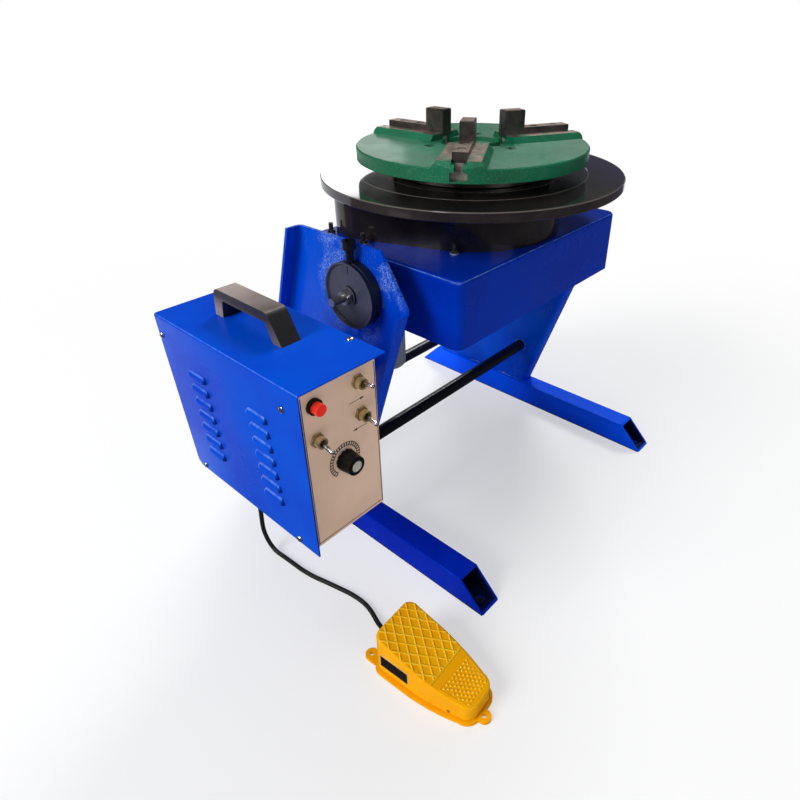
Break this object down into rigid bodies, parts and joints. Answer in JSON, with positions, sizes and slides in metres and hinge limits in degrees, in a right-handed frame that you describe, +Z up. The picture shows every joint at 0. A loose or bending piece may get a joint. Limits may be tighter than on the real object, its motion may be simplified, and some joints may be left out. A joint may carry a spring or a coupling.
{
  "type": "welding positioner",
  "caption": "Tilting welding turntable with a self-centring jaw chuck on a floor frame, with a control box and a foot pedal on a cord.",
  "frame": {"origin": "on the floor under the turntable's axis, at the centre of the four anchor holes", "axes": "+Z up, +X along the tilt axis away from the control box, -Y towards the operator"},
  "size_m": [0.6615, 0.6, 0.5575],
  "materials": {
    "blue_paint": "glossy cobalt blue paint",
    "black_paint": "semi-gloss black paint",
    "brass": "plated brass",
    "dark_steel": "dark hardened steel",
    "bright_steel": "zinc-plated steel",
    "panel_metal": "warm satin aluminium",
    "black_plastic": "matte black",
    "red_lens": "translucent red",
    "turned_steel": "turned steel",
    "electrics": "board and winding",
    "cord_rubber": "black",
    "yellow_paint": "yellow-orange paint on a casting",
    "black_oxide": "blackened turned steel",
    "grey_cast": "cast aluminium",
    "grey_metal": "grey paint",
    "green_hammer": "green hammered paint over cast iron, ways machined bare",
    "chrome": "polished",
    "silver_cap": "spun aluminium"
  },
  "bodies": {
    "frame": {"foot_left": "blue_paint", "foot_right": "blue_paint", "side_plate_left": "blue_paint", "side_plate_right": "blue_paint", "cross_bars": "black_paint", "trunnion_bushes": "brass", "friction_washer": "dark_steel", "box_cover": "blue_paint", "cover_screws": "bright_steel", "box_chassis": "blue_paint", "front_panel": "panel_metal", "carry_handle": "black_plastic", "switch_bodies": "brass", "lamp_bezel": "black_plastic", "lamp_lens": "red_lens", "speed_control": "turned_steel", "box_arms": "blue_paint", "arm_bolts": "bright_steel", "box_electrics": "electrics", "cord_gland": "black_plastic", "pedal_cord": "cord_rubber", "pedal_base": "yellow_paint", "pedal_pin": "bright_steel", "pedal_grommet": "cord_rubber", "pedal_switch": "black_plastic", "pedal_spring": "turned_steel"},
    "tilting_head": {"tray": "blue_paint", "trunnion_left": "turned_steel", "trunnion_right": "turned_steel", "wheel_nut": "bright_steel", "tray_bolts": "bright_steel", "gear_housing": "black_oxide", "bearing_housing": "grey_cast", "spindle_bearings": "turned_steel", "gearbox": "grey_cast", "gearbox_screws": "dark_steel", "motor": "grey_metal"},
    "clamp": {"clamp_wheel": "black_paint", "wheel_lever": "black_paint"},
    "drive_pinion": {"pinion": "turned_steel"},
    "table": {"spindle": "turned_steel", "ring_gear": "turned_steel", "spindle_screws": "dark_steel", "turntable": "black_oxide", "chuck_hub": "dark_steel", "chuck_body": "green_hammer", "chuck_screws": "dark_steel"},
    "scroll": {"scroll_ring": "dark_steel"},
    "chuck_jaw_1": {"jaw_1": "dark_steel", "jaw_slider_1": "turned_steel"},
    "chuck_jaw_2": {"jaw_2": "dark_steel", "jaw_slider_2": "turned_steel"},
    "chuck_jaw_3": {"jaw_3": "dark_steel", "jaw_slider_3": "turned_steel"},
    "foot_lever": {"foot_toggle": "chrome"},
    "direction_lever": {"direction_toggle": "chrome"},
    "power_lever": {"power_toggle": "chrome"},
    "knob": {"speed_knob": "black_plastic", "knob_cap": "silver_cap"},
    "pedal_treadle": {"treadle": "yellow_paint"}
  },
  "joints": [
    {"name": "tilt", "type": "hinge", "parent": "frame", "child": "tilting_head", "pos_m": [0, -0.005, 0.381], "axis": [1, 0, 0], "range_deg": [0, 90]},
    {"name": "clamp_turn", "type": "hinge", "parent": "tilting_head", "child": "clamp", "pos_m": [-0.227, -0.005, 0.381], "axis": [1, 0, 0], "range_deg": [-90, 0]},
    {"name": "table_spin", "type": "hinge", "parent": "tilting_head", "child": "table", "pos_m": [0, 0, 0.48], "axis": [0, 0, 1], "continuous": true},
    {"name": "pinion_spin", "type": "hinge", "parent": "tilting_head", "child": "drive_pinion", "pos_m": [-0.09645, 0.07951, 0.46], "axis": [0, 0, 1], "continuous": true},
    {"name": "scroll_turn", "type": "hinge", "parent": "table", "child": "scroll", "pos_m": [0, 0, 0.495], "axis": [0, 0, 1], "range_deg": [-1200, 900]},
    {"name": "jaw_slide_1", "type": "slide", "parent": "table", "child": "chuck_jaw_1", "axis": [-0.0488, 0.9988, 0], "range_m": [-0.0201, 0.0151]},
    {"name": "jaw_slide_2", "type": "slide", "parent": "table", "child": "chuck_jaw_2", "axis": [-0.8406, -0.5417, 0], "range_m": [-0.0201, 0.0151]},
    {"name": "jaw_slide_3", "type": "slide", "parent": "table", "child": "chuck_jaw_3", "axis": [0.8894, -0.4571, 0], "range_m": [-0.0201, 0.0151]},
    {"name": "foot_switch", "type": "hinge", "parent": "frame", "child": "foot_lever", "pos_m": [-0.4005, -0.15, 0.3364], "axis": [1, 0, 0], "range_deg": [-21, 0]},
    {"name": "direction_switch", "type": "hinge", "parent": "frame", "child": "direction_lever", "pos_m": [-0.3464, -0.15, 0.3378], "axis": [1, 0, 0], "range_deg": [-21, 0]},
    {"name": "power_switch", "type": "hinge", "parent": "frame", "child": "power_lever", "pos_m": [-0.348, -0.15, 0.375], "axis": [1, 0, 0], "range_deg": [0, 21]},
    {"name": "speed_turn", "type": "hinge", "parent": "frame", "child": "knob", "pos_m": [-0.371, -0.15, 0.2963], "axis": [0, -1, 0], "range_deg": [-150, 150]},
    {"name": "treadle_press", "type": "hinge", "parent": "frame", "child": "pedal_treadle", "pos_m": [-0.3392, -0.27471, 0.01], "axis": [0.9972, 0.075, 0], "range_deg": [-2.5, 0], "stiffness_Nm_per_rad": 2, "springref_deg": 14.32, "deforming": ["pedal_spring"]}
  ],
  "couplings": [
    {"joint": "pinion_spin", "follows": "table_spin", "ratio": -4},
    {"joint": "jaw_slide_1", "follows": "scroll_turn", "m_per_rad": 0.00095493},
    {"joint": "jaw_slide_2", "follows": "scroll_turn", "m_per_rad": 0.00095493},
    {"joint": "jaw_slide_3", "follows": "scroll_turn", "m_per_rad": 0.00095493}
  ]
}
